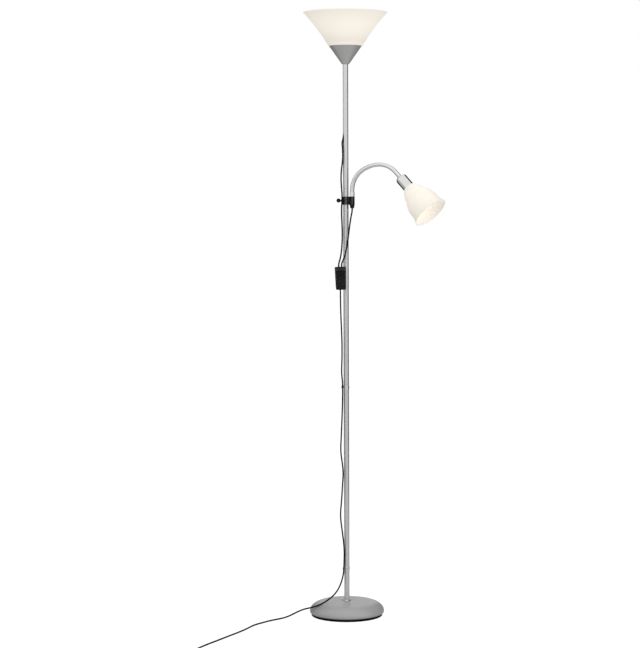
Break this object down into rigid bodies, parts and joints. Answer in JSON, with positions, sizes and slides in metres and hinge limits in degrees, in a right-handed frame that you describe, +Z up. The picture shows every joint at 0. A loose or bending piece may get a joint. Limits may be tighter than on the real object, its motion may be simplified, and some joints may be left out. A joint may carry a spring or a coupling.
{
  "type": "floor lamp",
  "caption": "Tall uplighter floor lamp on a round weighted foot, with a conical upper shade, a reading light on a bent flexible neck, and an inline rocker switch on its cord.",
  "frame": {"origin": "centre of the foot's underside, on the floor under the pole's axis", "axes": "+Z up along the pole; the front of the lamp faces -Y, with the reading arm to the right (+X) and forward"},
  "size_m": [0.7773, 0.7293, 1.7972],
  "materials": {
    "pad_foam": "matte black foam sheet",
    "foot_black": "matte black",
    "lamp_grey": "satin silver-grey powder coat",
    "iron": "rough casting",
    "steel": "zinc-plated steel",
    "bright_steel": "polished plating",
    "cup_grey": "satin silver-grey",
    "shade_white": "satin opal white",
    "holder_white": "moulded white",
    "bulb_glass": "frosted white",
    "bulb_cap": "threaded cap",
    "clamp_black": "satin black moulding",
    "liner_grey": "plain moulding",
    "brass": "turned",
    "neck_steel": "satin flexible hose",
    "opal_glass": "white opal glass",
    "switch_black": "satin black",
    "clip_clear": "milky translucent",
    "cord_black": "satin black sheath"
  },
  "bodies": {
    "stand": {"base_pad": "pad_foam", "foot_ring": "foot_black", "base_cover": "lamp_grey", "base_weight": "iron", "base_nut": "steel", "pole_stud": "steel", "pole_foot_ring": "bright_steel", "pole_section_1": "lamp_grey", "pole_section_2": "lamp_grey", "pole_section_3": "lamp_grey", "pole_section_4": "lamp_grey", "pole_coupler_1": "steel", "pole_coupler_2": "steel", "pole_coupler_3": "steel", "pole_bottom_insert": "steel", "pole_top_insert": "steel", "cord_grommet": "foot_black", "upper_cup": "cup_grey", "upper_nipple": "steel", "upper_nut": "steel", "upper_shade": "shade_white", "upper_lampholder": "holder_white", "upper_holder_ring": "holder_white", "upper_bulb_cap": "bulb_cap", "upper_bulb_glass": "bulb_glass", "switch_front": "switch_black", "switch_back": "switch_black", "switch_screws": "steel", "rocker_axle": "steel", "terminal_block": "brass", "cable_clip_upper": "clip_clear", "cable_clip_lower": "clip_clear", "pole_wire": "cord_black", "cord_upper": "cord_black", "cord_reading": "cord_black", "cord_mains": "cord_black", "cord_coil": "cord_black", "cord_tail": "cord_black", "plug_body": "cord_black", "plug_pins": "bright_steel"},
    "clamp_slider": {"clamp_liner": "liner_grey"},
    "clamp": {"arm_clamp": "clamp_black", "clamp_insert_nut": "brass"},
    "clamp_screw": {"clamp_screw": "steel", "clamp_knob": "clamp_black"},
    "arm": {"neck_riser": "neck_steel", "neck_ferrule": "bright_steel"},
    "neck_lower": {"neck_section_1": "neck_steel"},
    "neck_middle": {"neck_section_2": "neck_steel"},
    "neck_upper": {"neck_section_3": "neck_steel"},
    "reading_head": {"neck_tip": "neck_steel", "reading_cup": "cup_grey", "small_lampholder": "holder_white", "reading_shade": "opal_glass", "small_holder_ring": "holder_white", "reading_bulb_cap": "bulb_cap", "reading_bulb_glass": "bulb_glass"},
    "left_rocker": {"rocker_left": "switch_black"},
    "right_rocker": {"rocker_right": "switch_black"}
  },
  "joints": [
    {"name": "clamp_slide", "type": "slide", "parent": "stand", "child": "clamp_slider", "axis": [0, 0, 1], "range_m": [-0.08, 0], "deforming": ["cord_reading"]},
    {"name": "clamp_swivel", "type": "hinge", "parent": "clamp_slider", "child": "clamp", "pos_m": [0, 0, 1.23515], "axis": [0, 0, 1], "range_deg": [-70, 35]},
    {"name": "clamp_screw_turn", "type": "hinge", "parent": "clamp", "child": "clamp_screw", "pos_m": [0, 0, 1.23515], "axis": [-0.848, 0.5299, 0], "range_deg": [0, 360]},
    {"name": "arm_turn", "type": "hinge", "parent": "clamp", "child": "arm", "pos_m": [0.01883, -0.01176, 1.23515], "axis": [0, 0, 1], "range_deg": [-80, 80]},
    {"name": "neck_bend_1", "type": "hinge", "parent": "arm", "child": "neck_lower", "pos_m": [0.01883, -0.01176, 1.2646], "axis": [0.5299, 0.848, 0], "range_deg": [-19.8, 7.2]},
    {"name": "neck_bend_2", "type": "hinge", "parent": "neck_lower", "child": "neck_middle", "pos_m": [0.0426, -0.02662, 1.31961], "axis": [0.5299, 0.848, 0], "range_deg": [-33, 12]},
    {"name": "neck_bend_3", "type": "hinge", "parent": "neck_middle", "child": "neck_upper", "pos_m": [0.09942, -0.06213, 1.34139], "axis": [0.5299, 0.848, 0], "range_deg": [-29.7, 10.8]},
    {"name": "neck_bend_4", "type": "hinge", "parent": "neck_upper", "child": "reading_head", "pos_m": [0.14704, -0.09188, 1.31795], "axis": [0.5299, 0.848, 0], "range_deg": [-16.5, 6]},
    {"name": "left_rocker_press", "type": "hinge", "parent": "stand", "child": "left_rocker", "pos_m": [-0.01596, -0.0219, 1.0025], "axis": [0.9996, 0, 0.0297], "range_deg": [-8, 0]},
    {"name": "right_rocker_press", "type": "hinge", "parent": "stand", "child": "right_rocker", "pos_m": [-0.01596, -0.0219, 1.0025], "axis": [0.9996, 0, 0.0297], "range_deg": [-8, 0]}
  ],
  "couplings": [
    {"joint": "neck_bend_1", "follows": "neck_bend_2", "ratio": 0.6},
    {"joint": "neck_bend_3", "follows": "neck_bend_2", "ratio": 0.9},
    {"joint": "neck_bend_4", "follows": "neck_bend_2", "ratio": 0.5}
  ]
}
